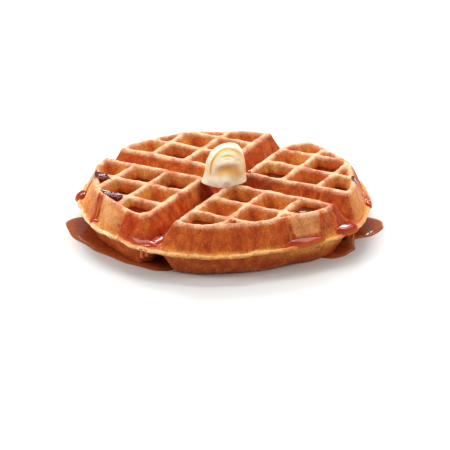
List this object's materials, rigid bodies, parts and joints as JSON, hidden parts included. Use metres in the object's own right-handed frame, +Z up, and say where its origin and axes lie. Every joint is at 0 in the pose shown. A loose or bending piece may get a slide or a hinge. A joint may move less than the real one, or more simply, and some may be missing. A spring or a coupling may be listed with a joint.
{
  "type": "belgian waffle",
  "caption": "Thick round waffle with deep square pockets, a cross of channels and a thin skirt, topped with syrup and a scoop of butter.",
  "frame": {"origin": "middle of the underside, where the waffle rests on a plate or table", "axes": "+Z up through the waffle's thickness; the two channels and the rows of pockets run along X and Y; the picture looks from -Y, turned 28 degrees towards +X"},
  "size_m": [0.1839, 0.1827, 0.0542],
  "materials": {
    "waffle_crust": "baked batter crust: golden-brown walls, paler crests and skirt, matt with fine pores, glossy where syrup wets it",
    "butter": "soft whipped butter: pale cream yellow, satin, slightly translucent, melting at the foot"
  },
  "bodies": {
    "root": {"waffle": "waffle_crust", "butter": "butter"}
  },
  "joints": []
}
